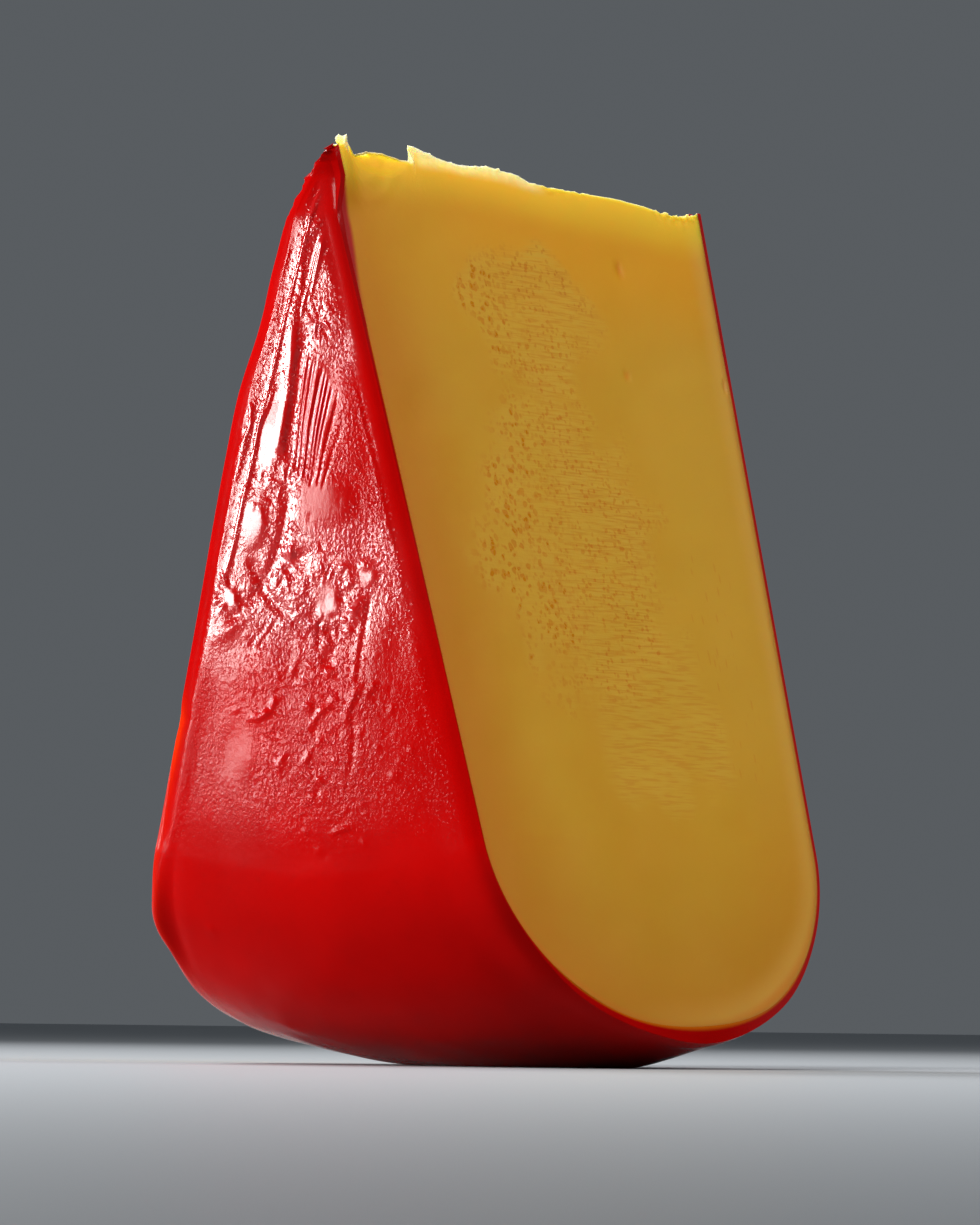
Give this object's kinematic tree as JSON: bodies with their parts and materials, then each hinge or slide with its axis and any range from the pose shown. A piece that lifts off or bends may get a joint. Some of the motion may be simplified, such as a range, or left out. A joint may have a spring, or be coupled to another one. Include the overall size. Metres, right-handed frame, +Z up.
{
  "type": "cheese wedge",
  "caption": "Wedge cut from a wheel of semi-hard cheese in a glossy red wax coat, stood on its rounded rim with the torn tip up.",
  "frame": {"origin": "middle of the flat patch of the rim that the wedge rests on", "axes": "+Z up, from the rim to the torn tip; X along the wheel's axis, so the two waxed faces look to -X and +X; the two knife cuts look to -Y and +Y, leaning towards each other"},
  "size_m": [0.0749, 0.061, 0.1098],
  "materials": {
    "cheese_paste": "smooth semi-hard golden cheese with a damp satin cut face, fine pits and a pale torn crust at the tip",
    "red_wax": "glossy deep red wax with fine dimples and shallow wrinkles"
  },
  "bodies": {
    "root": {"cheese_paste": "cheese_paste", "wax_coat": "red_wax"}
  },
  "joints": []
}
